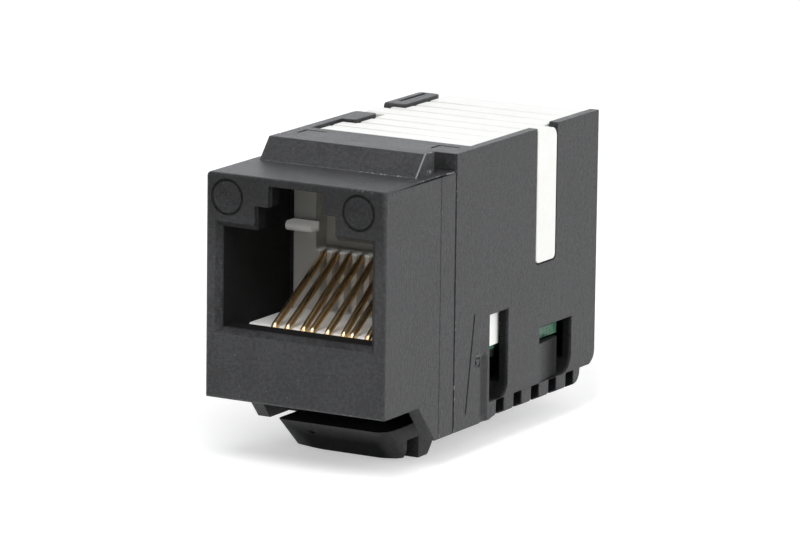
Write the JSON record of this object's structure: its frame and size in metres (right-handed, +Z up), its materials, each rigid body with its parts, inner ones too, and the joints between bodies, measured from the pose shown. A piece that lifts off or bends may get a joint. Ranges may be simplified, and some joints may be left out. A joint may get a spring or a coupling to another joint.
{
  "type": "keystone jack",
  "caption": "Snap-in modular panel jack: black moulded housing with a plug opening and spring contacts, flexible latch below, fixed wedge above, rear body with a lift-off white wire cap.",
  "frame": {"origin": "centre of the plug opening, in the plane of the front face", "axes": "+Y runs back from the front face along the way a plug goes in, +Z is up towards the latch notch, X runs across the jack"},
  "size_m": [0.0144, 0.0309, 0.0225],
  "materials": {
    "black_plastic": "fine-textured black moulding",
    "white_plastic": "smooth white moulding",
    "gold_contact": "gold-plated spring wire",
    "tin_contact": "tin-plated stamped blade",
    "board_green": "green solder-resist over glass-fibre board"
  },
  "bodies": {
    "jack": {"front_housing": "black_plastic", "rear_body": "black_plastic", "contact_carrier": "white_plastic", "contact_1": "gold_contact", "contact_2": "gold_contact", "contact_3": "gold_contact", "contact_4": "gold_contact", "contact_5": "gold_contact", "contact_6": "gold_contact", "contact_7": "gold_contact", "contact_8": "gold_contact", "circuit_board": "board_green", "idc_block": "white_plastic", "idc_contact_1": "tin_contact", "idc_contact_2": "tin_contact", "idc_contact_3": "tin_contact", "idc_contact_4": "tin_contact", "idc_contact_5": "tin_contact", "idc_contact_6": "tin_contact", "idc_contact_7": "tin_contact", "idc_contact_8": "tin_contact"},
    "latch": {"panel_latch": "black_plastic"},
    "cap": {"wire_cap": "white_plastic"}
  },
  "joints": [
    {"name": "latch_flex", "type": "hinge", "parent": "jack", "child": "latch", "pos_m": [0, 0.0152, -0.01039], "axis": [-1, 0, 0], "range_deg": [0, 9.5], "stiffness_Nm_per_rad": 0.2},
    {"name": "cap_lift", "type": "slide", "parent": "jack", "child": "cap", "axis": [0, 0, 1], "range_m": [0, 0.012]}
  ]
}
